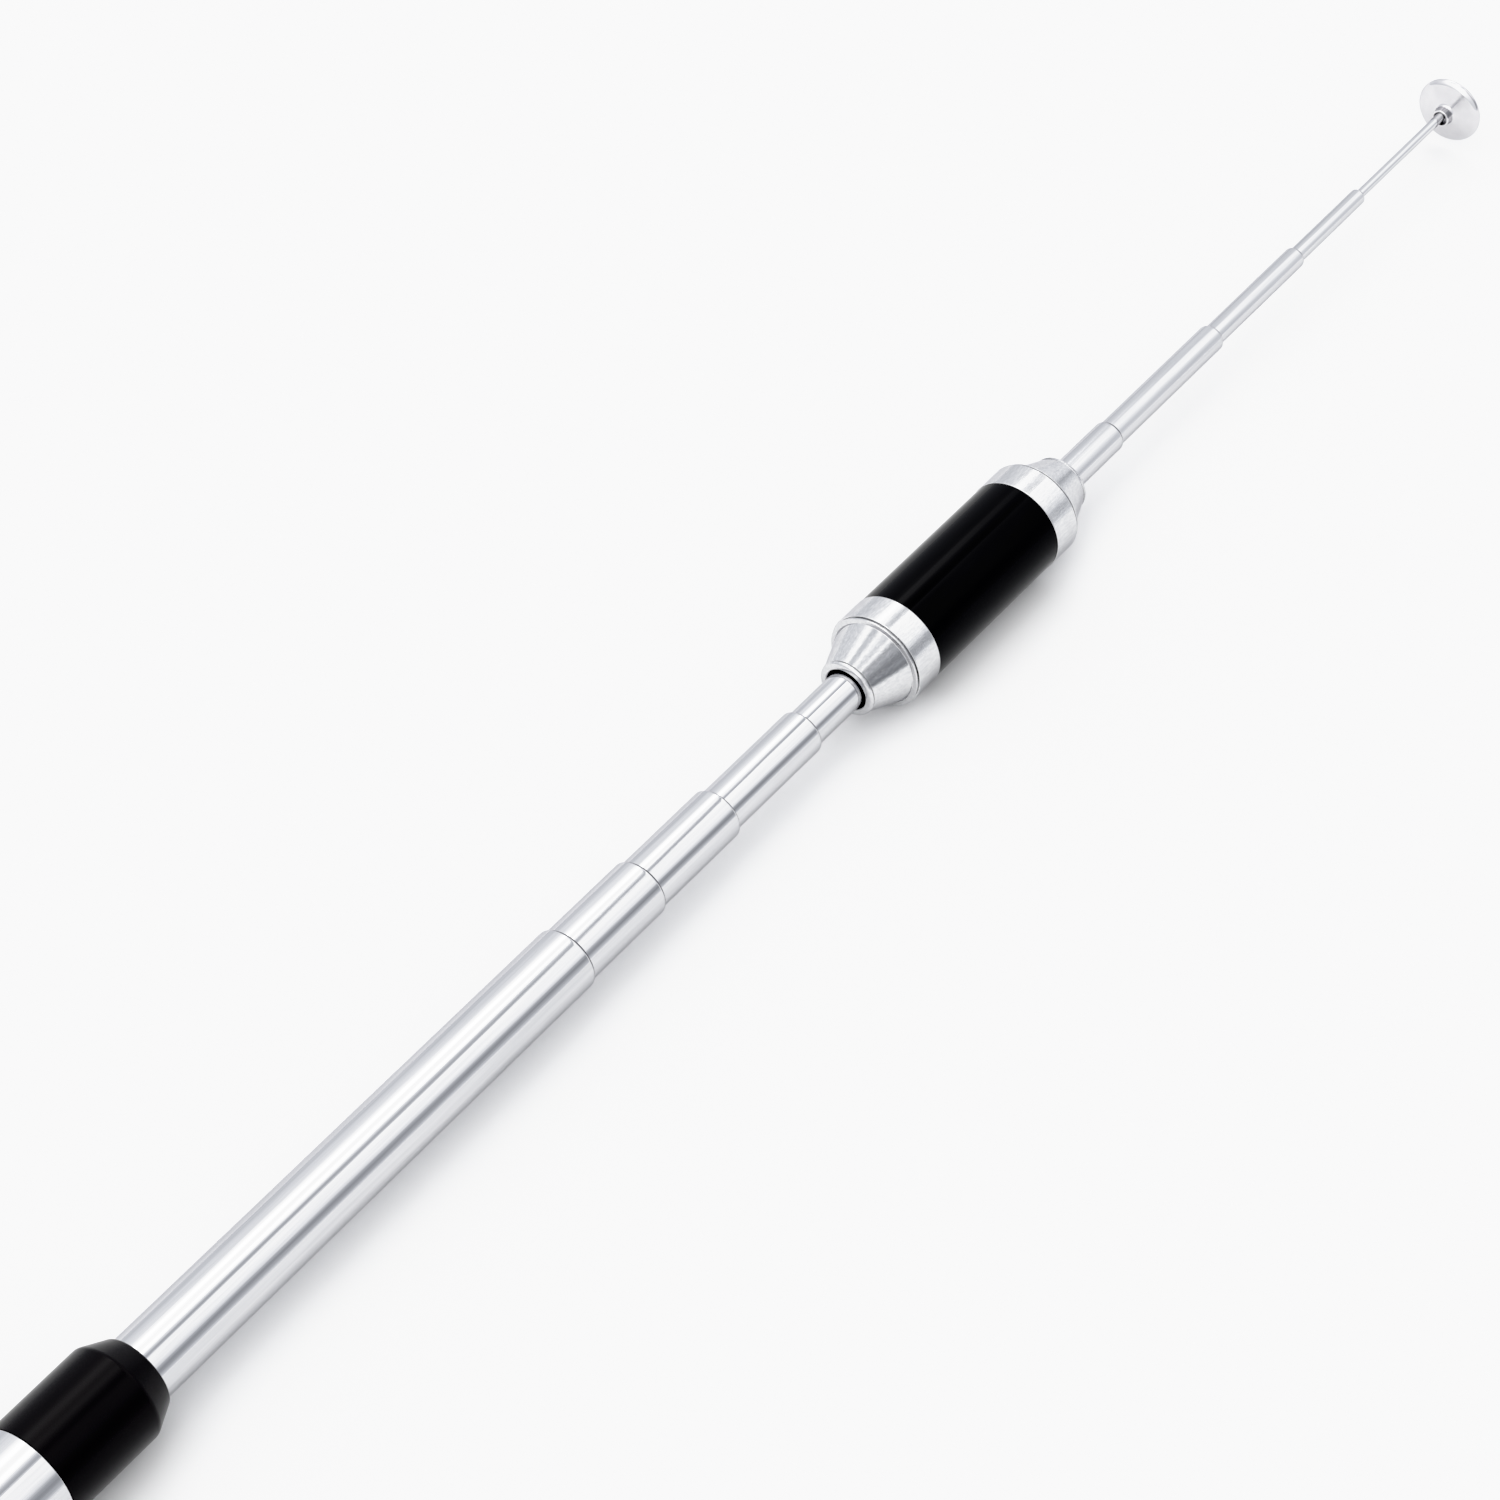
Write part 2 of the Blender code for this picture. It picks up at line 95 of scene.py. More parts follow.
# Tubes
MOUTH_ROLL = 0.42                # length over which a tube's mouth slopes inwards
MOUTH_NOSE = 0.2                 # length of the rounded end of the slope
MOUTH_SLOPE = 0.26               # share of the step between two tubes that the slope takes up
MOUTH_CURL = 0.8                 # share that the slope and its rounded end take up together
MOUTH_SHADE_LENGTH = 0.33                 # length of the edge of a tube's mouth that is painted dark as shade
MOUTH_GAP = 0.03                 # countersink round the next tube
MOUTH_DEPTH = 0.5
MOUTH_EDGE = 0.01
LIP_LENGTH = 0.8                 # of the land that guides the next tube
BEAD_STEPS = 8
PLAIN_FOOT = 1.0                 # length of the first tube's foot, which has no flange
FOOT_EDGE = 0.02
FOOT_FLANGE = 0.8
FLANGE_EDGE = 0.15
FLANGE_FILLET = 0.08
FOOT_BEAD = 0.9
FOOT_ZONE = 10.0                 # a tube's outside is plain beyond this distance from its foot
ROD_END = 2.0
LINER_SLOT_HALF = 0.45
LINER_EDGE_SHARE = 0.3           # rounding of a liner's edges, as a share of its wall

# Handle
COLLAR_CHAMFER_LENGTH = 3.75
COLLAR_CHAMFER_ROUNDING = 0.35
COLLAR_FACE_SETBACK = 0.02
COLLAR_FACE_INSET = 0.05
TAIL_ROUNDING = 1.1
TAIL_RECESS_RADIUS = 4.2
TAIL_RECESS_DEPTH = 0.35
TAIL_RECESS_FLARE = 0.3
TAIL_RECESS_FILLET = 0.25
TAIL_RIM = 3.0
TAIL_WEB = 1.0
TAIL_PLUG_LEAD = 2.0             # beyond the rim, where the plug's radius is looked up
TAIL_TAPER_LENGTH = 1.0
TAIL_TAPER = 0.6
PIN_HOLE_GAP = 0.05
PIN_HOLE_REACH = 4.0             # length of the pin hole's cutter, in half lengths of the pin

# End caps: depths are measured from the cap's nose
NOSE_LENGTH = 0.5
NOSE_STEPS = 8
NOSE_BULGE = 0.85                # radial width of the rounded nose
NOSE_CREASE = 0.26               # depth of the crease between the near cap's nose and its cone
FAR_NOSE_CREASE = 0.07
CREASE_SIDE = 0.05
NOSE_GAP = 0.1                   # how much wider than in CAD the nose opens round the mast
NOSE_CHAMFER = 0.12
CONE_START = 0.76
CONE_END = 6.7
CONE_FLARE = 0.06                # length over which the cone's end steps up to the shoulder
SHOULDER_STEP = 0.22             # how far the shoulder lies below the ring
SHOULDER_RISE = 0.04
SHOULDER_END = 6.98
GROOVE_END = 7.26
GROOVE_DEPTH = 0.5
GROOVE_SIDE = 0.04
RING_LENGTH_END = 12.2
CAP_WEB = 1.8
BUSH_EDGE = 0.25

# Head: depths are measured from the hub's end
HUB_EDGE = 0.16
HUB_DEPTH = 1.5
HUB_FLARE = 0.05
CUP_EDGE = 2.4
CUP_EDGE_INSET = 0.42
CUP_EDGE_ROUNDING = 0.35
CUP_RIM_LENGTH = 0.5
CUP_FACE_INSET = 0.35
CAVITY_FLOOR = 2.0
POCKET_FLOOR = 2.8
MAGNET_EDGE = 0.15

# Finishes
SEED_SHIFT = (1.0, 0.7, 0.3)     # direction in which a seed moves a noise
EDGE_TINT = (0.67, 0.67, 0.69, 1.0)     # bright metal looks darker where the eye skims along it
# painted shade: colour of the dark line painted along the edge of each tube's mouth
MOUTH_SHADE_COLOUR = (0.13, 0.13, 0.14)
FLOOR_WHITE = (0.90, 0.90, 0.90, 1.0)

# Camera, from a perspective fit of the tool's outline
LENS = 102.45
SENSOR = 36.0
NEAREST_SEEN = 0.01              # metres
FARTHEST_SEEN = 100.0
AIM = Vector((239.40, 3.66, 0.0))
DISTANCE = 584.6
HEADING = radians(36.61)         # of the view, turned from +X towards +Y
DROP = radians(45.29)            # of the view, below level

# Studio
FLOOR_SIZE = 12.0                # metres
BACKDROP = (1.0, 1.0, 1.0, 1.0)
BACKDROP_LIGHT = 1.2
SKY_STRENGTH = 1.24
SKY_PEAK = 4.0                   # brightness that full white in a colour ramp stands for
COOL = (0.90, 0.93, 1.0)         # tint of the studio's darker gaps
WARM = (1.0, 0.995, 0.985)
COOL_BELOW = 1.4                 # parts of the studio darker than this start to turn cool
STRAIGHT_DOWN = -90.0            # angle at which every ramp starts
LINE_DRIFT = radians(19.0)       # how far the gap overhead leans towards +Y beyond the tool's middle

# Brightness of the studio round the tool, by the angle in degrees above +Y: soft boxes overhead,
# with gaps between them. From the tail to the tip they are TAIL_LIGHT, BEHIND, ACROSS (beside the
# tool), AHEAD and BEYOND.
TAIL_LIGHT = (
    (-90, 0.6), (10, 0.75), (30, 0.9), (50, 1.3), (75, 1.6), (105, 1.6), (130, 1.1), (160, 0.8),
    (270, 0.6))
BEHIND = (
    (-90, 0.95), (-5, 0.90), (20, 0.85), (40, 0.9), (50, 1.3), (58, 1.5), (64, 0.72), (76, 0.80),
    (83, 1.4), (94, 0.9), (103, 0.75), (108, 1.35), (114, 0.9), (119, 0.36), (128, 0.5), (140, 0.36),
    (150, 0.26), (160, 0.4), (168, 0.26), (174, 0.32), (180, 0.95), (270, 0.95))
ACROSS = (
    (-90, 0.95), (-5, 0.86), (14, 0.80), (31, 0.93), (46, 1.06), (54, 1.4), (59, 2.7), (68, 2.7),
    (72, 1.4), (80, 1.4), (84, 2.6), (91, 2.4), (97, 1.6), (104, 1.35), (138, 1.2), (147, 0.98),
    (153, 0.55), (158, 0.45), (162, 0.38), (167, 0.5), (173, 0.6), (178, 0.86), (181, 0.95),
    (270, 0.95))
AHEAD = (
    (-90, 0.95), (-5, 0.86), (14, 0.79), (31, 0.84), (60, 0.87), (73, 0.90), (80, 1.2), (88, 1.3),
    (120, 1.26), (130, 1.1), (140, 0.92), (150, 0.82), (160, 0.78), (168, 0.80), (176, 0.90),
    (181, 0.95), (270, 0.95))
BEYOND = (
    (-90, 0.95), (0, 0.9), (26, 1.0), (66, 0.95), (95, 0.75), (108, 0.5), (120, 0.6), (150, 0.8),
    (175, 0.9), (181, 0.95), (270, 0.95))
# The narrow slit between two boxes overhead, which shows as a thin dark line.
GAP = (
    (-90, SKY_PEAK), (88, SKY_PEAK), (93, 1.25), (98, 0.9), (102, 0.62), (105, 0.54), (108, 0.62),
    (111, 1.1), (115, SKY_PEAK), (270, SKY_PEAK))

# Where one part of the studio turns into the next, and where the gap starts to lean: two values of
# the X component of a direction.
TAIL_TO_BEHIND = (-0.18, -0.1)
BEHIND_TO_ACROSS = (0.12, 0.30)
ACROSS_TO_AHEAD = (0.60, 0.66)
AHEAD_TO_BEYOND = (0.80, 0.90)
DRIFT_ZONE = (0.48, 0.59)

# Tone curve: (light in the scene, light shown). Deep shadows go to black and the floor's white
# levels off.
TONES = (
    (0.0, 0.0), (0.013, 0.0006), (0.03, 0.010), (0.06, 0.042), (0.2, 0.188), (0.5, 0.495),
    (0.75, 0.755), (0.9, 0.875), (1.0, 0.918), (1.15, 0.937), (1.4, 0.955), (2.0, 1.0))

NODE_BODY = {node: body for body, nodes in frame["record"]["behaviour"]["bodies"].items() for node in nodes}
NODE_SLOT = {part["node"]: part["material_slot"] for part in frame["record"]["subparts"]}


# ---------------------------------------------------------------- reading the frame

def span(node):
    """First and last station of a node, and its outside radius."""
    low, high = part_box(node)
    return low.x / MM, high.x / MM, (high.z - low.z) / 2 / MM


def axis_height(node):
    """Height of a turned node's own axis, in metres: the loose head hangs a little below the rod's."""
    low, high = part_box(node)
    return (low.z + high.z) / 2


def corner_rings(node):
    """(station, radius) of every corner of a turned node's outline."""
    height = axis_height(node)
    corners = set()
    for vertex in frame["nodes"][node].data.vertices:
        x, y, z = vertex.co
        corners.add((round(x / MM, 3), round(hypot(y, z - height) * CAD_FLAT / MM, 3)))
    return sorted(corners)


def bore(node):
    return min(radius for _, radius in corner_rings(node))


def radius_near(node, start, end, pick=max):
    """Largest or smallest radius of a node's outline corners between two stations."""
    return pick(radius for station, radius in corner_rings(node)
                if start - STATION_SLACK <= station <= end + STATION_SLACK)


# ---------------------------------------------------------------- turned shapes

def rounded(corners):
    """Outline through (station, radius, rounding) corners, each rounded over that distance."""
    points = []
    for index, (station, radius, rounding) in enumerate(corners):
        corner = Vector((station, radius))
        if not rounding:
            points.append(corner)
            continue
        to_last = Vector(corners[index - 1][:2]) - corner
        to_next = Vector(corners[(index + 1) % len(corners)][:2]) - corner
        start = corner + to_last.normalized() * min(rounding, to_last.length * ROUNDING_LIMIT)
        end = corner + to_next.normalized() * min(rounding, to_next.length * ROUNDING_LIMIT)
        for step in range(ROUNDING_STEPS + 1):
            share = step / ROUNDING_STEPS
            points.append(start.lerp(corner, share).lerp(corner.lerp(end, share), share))
    return points


def ring_outline(start, end, inside, outside, inner_edge, outer_edge):
    """Outline of a plain ring with rounded edges."""
    return rounded([
        (start, inside, inner_edge), (start, outside, outer_edge),
        (end, outside, outer_edge), (end, inside, inner_edge)])


def bead(start, end, base, height):
    """Low round bead on the outside of a tube."""
    points = []
    for step in range(BEAD_STEPS + 1):
        share = step / BEAD_STEPS
        points.append(Vector((start + (end - start) * share, base + height * sin(pi * share))))
    return points


def lathe(name, outline, sides, gap=0.0):
    """Turn a closed (station, radius) outline round the axis, leaving a gap of that angle at +Y."""
    count = sides + 1 if gap else sides
    angles = [gap / 2 + (tau - gap) * step / sides for step in range(count)]
    shape = bmesh.new()
    rows = []
    for station, radius in outline:
        if radius:
            row = [shape.verts.new((station * MM, radius * MM * cos(angle), radius * MM * sin(angle)))
                   for angle in angles]
        else:
            row = [shape.verts.new((station * MM, 0.0, 0.0))] * count
        rows.append(row)
    for row, after in zip(rows, rows[1:] + rows[:1]):
        for step in range(sides):
            turn = (step + 1) % count
            corners = list(dict.fromkeys((row[step], row[turn], after[turn], after[step])))
            if len(corners) > 2:
                shape.faces.new(corners)
    if gap:
        shape.faces.new([row[0] for row in rows])
        shape.faces.new([row[-1] for row in rows])
    bmesh.ops.recalc_face_normals(shape, faces=shape.faces)
    return add_mesh_object(name, shape)


def add_mesh_object(name, shape):
    """Make an object of a bmesh, and free the bmesh."""
    mesh = bpy.data.meshes.new(name)
    shape.to_mesh(mesh)
    shape.free()
    return add_object(name, mesh)


def add_object(name, data):
    obj = bpy.data.objects.new(name, data)
    bpy.context.scene.collection.objects.link(obj)
    return obj


def smooth(obj):
    """Smooth shading between sharp edges, with flat and straight walls keeping their own normals."""
    obj.data.shade_smooth()
    obj.data.set_sharp_from_angle(angle=SHARP_ANGLE)
    normals = obj.modifiers.new("wall_normals", "WEIGHTED_NORMAL")
    normals.keep_sharp = True
    normals.weight = WALL_WEIGHT


def finish_piece(obj, node):
    """Give a piece its finish and put it in the place of its node."""
    smooth(obj)
    slot = NODE_SLOT[node]
    obj.data.materials.append(FINISHES[slot])
    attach(obj, NODE_BODY[node])
    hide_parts(node)


def turn_piece(node, suffix, outline, sides, gap=0.0):
    piece = lathe(node + "_" + suffix, outline, sides, gap)
    piece.data.transform(Matrix.Translation((0.0, 0.0, axis_height(node))))
    finish_piece(piece, node)
    return piece


def turn_drilled_piece(node, suffix, outline):
    """Turn a piece that the mast's cross pin passes through."""
    piece = lathe(node + "_" + suffix, outline, TUBE_SIDES)
    drill(piece)
    finish_piece(piece, node)
    return piece


def drill(obj):
    """Bore the cross hole of the mast's pin through a piece."""
    low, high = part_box("mast_pin")
    radius = (high.x - low.x) / 2 + PIN_HOLE_GAP * MM
    shape = bmesh.new()
    bmesh.ops.create_cone(shape, cap_ends=True, segments=THIN_SIDES, radius1=radius, radius2=radius,
                          depth=PIN_HOLE_REACH * high.z)
    cutter = add_mesh_object("pin_hole", shape)
    cutter.location.x = (low.x + high.x) / 2
    boolean = obj.modifiers.new("pin_hole", "BOOLEAN")
    boolean.object = cutter
    boolean.solver = "EXACT"
    depsgraph = bpy.context.evaluated_depsgraph_get()
    drilled = bpy.data.meshes.new_from_object(obj.evaluated_get(depsgraph))
    obj.modifiers.clear()
    obj.data = drilled
    bpy.data.objects.remove(cutter)


# ---------------------------------------------------------------- finishes

def fill_socket(tree, socket, value):
    """Set a socket to a number or a colour, or link it to another node's output."""
    if isinstance(value, bpy.types.NodeSocket):
        tree.links.new(value, socket)
    else:
        socket.default_value = value


def add_node(tree, kind, sockets=None, **settings):
    """Add a shader node; a socket's value may be a number, a colour or another node's output."""
    node = tree.nodes.new(kind)
    for name, value in settings.items():
        setattr(node, name, value)
    for name, value in (sockets or {}).items():
        fill_socket(tree, node.inputs[name], value)
    return node


def set_shader(tree, shader, **sockets):
    """Fill a shader's sockets, named with _ in place of each space."""
    for name, value in sockets.items():
        fill_socket(tree, shader.inputs[name.replace("_", " ")], value)


def start_finish(name):
    material = bpy.data.materials.new(name)
    material.use_nodes = True
    return material, material.node_tree, material.node_tree.nodes["Principled BSDF"]


def stretched_noise(tree, per_mm, detail, seed=0.0, roughness=0.55):
    """Noise whose features have this many per millimetre along X, Y and Z."""
    place = add_node(tree, "ShaderNodeTexCoord").outputs["Object"]
    scaled = add_node(tree, "ShaderNodeMapping", {
        "Vector": place,
        "Location": tuple(seed * part for part in SEED_SHIFT),
        "Scale": tuple(count / MM for count in per_mm)})
    noise = add_node(tree, "ShaderNodeTexNoise", {
        "Vector": scaled.outputs["Vector"], "Scale": 1.0, "Detail": detail, "Roughness": roughness})
    return noise.outputs["Fac"]


def remap(tree, value, low=0.0, high=1.0, bottom=0.3, top=0.7):
    """Spread a noise value between two limits."""
    spread = add_node(tree, "ShaderNodeMapRange", {
        "Value": value, "From Min": bottom, "From Max": top, "To Min": low, "To Max": high})
    return spread.outputs["Result"]


def mix_colours(tree, share, first, second, blend="MIX"):
    """Turn one colour towards another; each is three numbers or another node's output."""
    mix = add_node(tree, "ShaderNodeMix", {0: share}, data_type="RGBA", blend_type=blend)
    for index, colour in ((6, first), (7, second)):
        fill_socket(tree, mix.inputs[index], (*colour, 1.0) if isinstance(colour, tuple) else colour)
    return mix.outputs[2]


def bumped(tree, height, depth, below=None):
    """Surface normal from a height of this many millimetres, on top of another normal."""
    bump = add_node(tree, "ShaderNodeBump", {"Strength": 1.0, "Distance": depth * MM, "Height": height})
    if below is not None:
        tree.links.new(below, bump.inputs["Normal"])
    return bump.outputs["Normal"]


def polished_chrome():
    """Drawn and plated tube: long faint streaks, a slow waviness, and painted shade along the edge of its
    mouth.
    """
    material, tree, shader = start_finish("polished_chrome")
    streaks = stretched_noise(tree, (0.02, 2.2, 2.2), detail=5.0, roughness=0.65)
    haze = stretched_noise(tree, (0.03, 1.1, 1.1), detail=5.0, seed=3.0, roughness=0.7)
    waves = stretched_noise(tree, (0.07, 0.28, 0.28), detail=1.0, seed=7.0)
    normal = bumped(tree, waves, depth=0.014)
    normal = bumped(tree, streaks, depth=0.0065, below=normal)
    plating = mix_colours(tree, remap(tree, haze), (0.54, 0.545, 0.56), (0.65, 0.65, 0.66))
    # painted shade: the edge of the mouth takes a dark colour in place of the shade there
    painted_mouth_shade = add_node(tree, "ShaderNodeAttribute", attribute_name="painted_mouth_shade").outputs["Fac"]
    set_shader(tree, shader, Metallic=1.0, Normal=normal, Specular_Tint=EDGE_TINT,
               Base_Color=mix_colours(tree, painted_mouth_shade, plating, MOUTH_SHADE_COLOUR),
               Roughness=remap(tree, streaks, low=0.035, high=0.08))
    return material


def turned_aluminium():
    """Bright turned face: rings left by the tool, lengthwise draw lines and a fine chatter."""
    material, tree, shader = start_finish("turned_aluminium")
    rings = stretched_noise(tree, (9.0, 0.05, 0.05), detail=3.0)
    lines = stretched_noise(tree, (0.05, 2.2, 2.2), detail=5.0, seed=9.0, roughness=0.7)
    chatter = stretched_noise(tree, (4.0, 6.0, 6.0), detail=4.0, seed=5.0, roughness=0.7)
    shade = stretched_noise(tree, (0.8, 3.2, 3.2), detail=5.0, seed=2.0, roughness=0.8)
    normal = bumped(tree, rings, depth=0.0015)
    normal = bumped(tree, lines, depth=0.009, below=normal)
    normal = bumped(tree, chatter, depth=0.007, below=normal)
    set_shader(tree, shader, Metallic=1.0, Normal=normal, Specular_Tint=EDGE_TINT,
               Base_Color=mix_colours(tree, remap(tree, shade), (0.52, 0.525, 0.54), (0.73, 0.73, 0.73)),
               Roughness=remap(tree, chatter, low=0.02, high=0.06))
    return material


def satin_plastic(name, low, high, roughness, specular, grain, depth):
    """Moulded or lacquered black: a fine grain with slightly uneven gloss."""
    material, tree, shader = start_finish(name)
    fine = stretched_noise(tree, (grain, grain, grain), detail=4.0)
    uneven = stretched_noise(tree, (0.06, 0.3, 0.3), detail=3.0, seed=4.0)
    set_shader(tree, shader, Metallic=0.0, Normal=bumped(tree, fine, depth),
               Base_Color=mix_colours(tree, remap(tree, uneven), low, high),
               Roughness=remap(tree, uneven, low=roughness - 0.03, high=roughness + 0.03),
               Specular_IOR_Level=specular)
    return material


def natural_nylon():
    """Off-white turned nylon, a little cloudy, with fine turning marks."""
    material, tree, shader = start_finish("white_nylon")
    cloud = stretched_noise(tree, (0.2, 0.2, 0.2), detail=3.0)
    marks = stretched_noise(tree, (6.0, 0.3, 0.3), detail=3.0, seed=1.0)
    set_shader(tree, shader, Metallic=0.0, Normal=bumped(tree, marks, depth=0.002),
               Base_Color=mix_colours(tree, remap(tree, cloud), (0.58, 0.55, 0.47), (0.66, 0.64, 0.58)),
               Roughness=remap(tree, cloud, low=0.42, high=0.55))
    return material


def rolled_brass():
    """Thin rolled brass with patches of tarnish."""
    material, tree, shader = start_finish("liner_brass")
    rolled = stretched_noise(tree, (0.3, 4.0, 4.0), detail=4.0)
    tarnish = stretched_noise(tree, (0.4, 0.4, 0.4), detail=4.0, seed=6.0)
    set_shader(tree, shader, Metallic=1.0, Normal=bumped(tree, rolled, depth=0.001),
               Base_Color=mix_colours(tree, remap(tree, tarnish), (0.58, 0.38, 0.14), (0.76, 0.56, 0.25)),
               Roughness=remap(tree, tarnish, low=0.2, high=0.4))
    return material


def ground_metal(name, low, high, roughness, per_mm, depth):
    """Ground or satin plated metal with fine marks."""
    material, tree, shader = start_finish(name)
    marks = stretched_noise(tree, per_mm, detail=4.0)
    cloud = stretched_noise(tree, (0.35, 0.35, 0.35), detail=3.0, seed=8.0)
    set_shader(tree, shader, Metallic=1.0, Normal=bumped(tree, marks, depth), Specular_Tint=EDGE_TINT,
               Base_Color=mix_colours(tree, remap(tree, cloud), low, high),
               Roughness=remap(tree, marks, low=roughness - 0.05, high=roughness + 0.07))
    return material


FINISHES = {
    "polished_chrome": polished_chrome(),
    "turned_aluminium": turned_aluminium(),
    "black_collar": satin_plastic(
        "black_collar", low=(0.003, 0.0025, 0.0035), high=(0.005, 0.004, 0.005),
        roughness=0.24, specular=0.12, grain=12.0, depth=0.0008),
    "black_sleeve": satin_plastic(
        "black_sleeve", low=(0.002, 0.002, 0.003), high=(0.004, 0.004, 0.005),
        roughness=0.09, specular=0.07, grain=8.0, depth=0.0003),
    "black_nylon": satin_plastic(
        "black_nylon", low=(0.004, 0.004, 0.005), high=(0.008, 0.008, 0.009),
        roughness=0.5, specular=0.3, grain=9.0, depth=0.002),
    "white_nylon": natural_nylon(),
    "liner_brass": rolled_brass(),
    "pin_steel": ground_metal(
        "pin_steel", low=(0.48, 0.48, 0.50), high=(0.56, 0.56, 0.58),
        roughness=0.25, per_mm=(3.0, 3.0, 0.2), depth=0.001),
    "cup_plate": ground_metal(
        "cup_plate", low=(0.62, 0.615, 0.63), high=(0.69, 0.685, 0.695),
        roughness=0.12, per_mm=(7.0, 0.6, 0.6), depth=0.001),
    "magnet_plate": ground_metal(
        "magnet_plate", low=(0.50, 0.50, 0.52), high=(0.60, 0.60, 0.61),
        roughness=0.28, per_mm=(2.0, 3.0, 3.0), depth=0.0015),
}


# ---------------------------------------------------------------- mast

def foot_outline(node):
    """Outside of a sliding tube's foot: a flange, the liner's seat and a bead."""
    start, end, flange = span(node)
    outside = radius_near(node, start + FOOT_ZONE, end)
    bead_end = max(station for station, _ in corner_rings(node) if station < start + FOOT_ZONE)
    bead_start = bead_end - FOOT_BEAD
    height = radius_near(node, bead_start + PROBE, bead_start + FOOT_BEAD - PROBE) - outside
    points = rounded([
        (start, outside - FOOT_EDGE, 0), (start, flange, FLANGE_EDGE),
        (start + FOOT_FLANGE, flange, FLANGE_EDGE), (start + FOOT_FLANGE, outside, FLANGE_FILLET),
        (bead_start, outside, 0)])
    return points[1:] + bead(bead_start, bead_start + FOOT_BEAD, outside, height)[1:]


def tube_outline(node, foot):
    """A drawn tube: plain outside, mouth curled in towards the next tube, and a smooth bore."""
    start, end, _ = span(node)
    outside = radius_near(node, start + FOOT_ZONE, end)
    inside = radius_near(node, start, start, min)
    lip = radius_near(node, end, end, min)
    step = outside - lip
    land = end - MOUTH_DEPTH
    points = rounded([
        (end - 2 * MOUTH_ROLL, outside, 0), (end - MOUTH_ROLL, outside, SLIGHT_EDGE),
        (end - MOUTH_NOSE, outside - step * MOUTH_SLOPE, SLIGHT_EDGE),
        (end, outside - step * MOUTH_CURL, THIN_EDGE), (end, lip + MOUTH_GAP, MOUTH_EDGE),
        (land, lip + MOUTH_GAP / 2, HAIR_EDGE), (land, lip, HAIR_EDGE),
        (land - LIP_LENGTH, lip, SLIGHT_EDGE), (land - 2 * LIP_LENGTH, inside, SLIGHT_EDGE),
        (start, inside, THIN_EDGE), (start, outside, 0)])
    return foot + points[:-1]


def paint_mouth_shade(tube, end):
    """Mark the edge of a tube's mouth, where a dark colour is painted in as shade."""
    marks = tube.data.attributes.new("painted_mouth_shade", "FLOAT", "POINT")
    for vertex, mark in zip(tube.data.vertices, marks.data):
        mark.value = float(vertex.co.x / MM > end - MOUTH_SHADE_LENGTH)


def make_first_tube(node):
    """The widest tube has a plain foot, and the cross pin fixes it in the handle."""
    start, _, outside = span(node)
    foot = rounded([
        (start, outside - SLIGHT_EDGE, 0), (start, outside, THIN_EDGE), (start + PLAIN_FOOT, outside, 0)])
    return turn_drilled_piece(node, "tube", tube_outline(node, foot[1:]))


def make_tubes():
    for count in range(1, 10):
        node = "section_%d" % count
        _, end, outside = span(node)
        if count == 1:
            tube = make_first_tube(node)
        else:
            sides = TUBE_SIDES if outside > THIN_TUBE else THIN_SIDES
            tube = turn_piece(node, "tube", tube_outline(node, foot_outline(node)), sides)
        # painted shade along the edge of the mouth
        paint_mouth_shade(tube, end)


def make_rod():
    start, end, _ = span("tip_rod")
    radius = radius_near("tip_rod", start + FOOT_ZONE, end)
    front = rounded([(end - ROD_END, radius, 0), (end, radius, RIM_EDGE), (end, 0.0, 0), (start, 0.0, 0)])
    turn_piece("tip_rod", "drawn", foot_outline("tip_rod") + front, THIN_SIDES)


def make_liners():
    """Split brass sleeves, each sprung between a tube's foot and the bore round it."""
    for name in ["%d" % count for count in range(2, 10)] + ["rod"]:
        node = "liner_" + name
        start, end, outside = span(node)
        inside = bore(node)
        edge = (outside - inside) * LINER_EDGE_SHARE
        ring = ring_outline(start, end, inside, outside, edge, edge)
        turn_piece(node, "sleeve", ring, THIN_SIDES, gap=2 * asin(LINER_SLOT_HALF / outside))


# ---------------------------------------------------------------- handle

def make_handle():
    start, end, outside = span("handle_tube")
    ring = ring_outline(start, end, bore("handle_tube"), outside, SLIGHT_EDGE, RIM_EDGE)
    turn_piece("handle_tube", "shell", ring, WIDE_SIDES)

    start, end, outside = span("tail_cap")
    plug = radius_near("tail_cap", TAIL_RIM + TAIL_PLUG_LEAD, end)
    inside = radius_near("tail_cap", end - 2 * PROBE, end, min)
    recess = TAIL_RECESS_RADIUS
    web_end = TAIL_RIM + TAIL_WEB
    tail = rounded([
        (start + TAIL_RECESS_DEPTH, 0.0, 0), (start + TAIL_RECESS_DEPTH, recess, TAIL_RECESS_FILLET),
        (start, recess + TAIL_RECESS_FLARE, RIM_EDGE), (start, outside, TAIL_ROUNDING),
        (TAIL_RIM, outside, RIM_EDGE), (TAIL_RIM, plug, SLIGHT_EDGE),
        (end - TAIL_TAPER_LENGTH, plug, WIDE_EDGE), (end, plug - TAIL_TAPER, SMALL_EDGE),
        (end, inside, SMALL_EDGE), (web_end, inside, WIDE_EDGE), (web_end, 0.0, 0)])
    turn_piece("tail_cap", "moulded", tail, WIDE_SIDES)


def make_collar():
    start, end, outside = span("front_collar")
    inside = bore("front_collar")
    spigot = radius_near("front_collar", start, start)
    rear = span("handle_tube")[1] + SEAT_GAP
    face = radius_near("front_collar", end - 3 * PROBE, end - 2 * PROBE)
    collar = rounded([
        (start, inside, SMALL_EDGE), (start, spigot, WIDE_EDGE), (rear, spigot, FINE_EDGE),
        (rear, outside, RIM_EDGE), (end - COLLAR_CHAMFER_LENGTH, outside, COLLAR_CHAMFER_ROUNDING),
        (end - COLLAR_FACE_SETBACK, face - COLLAR_FACE_INSET, BROAD_EDGE), (end, inside, SLIGHT_EDGE)])
    turn_piece("front_collar", "turned", collar, WIDE_SIDES)


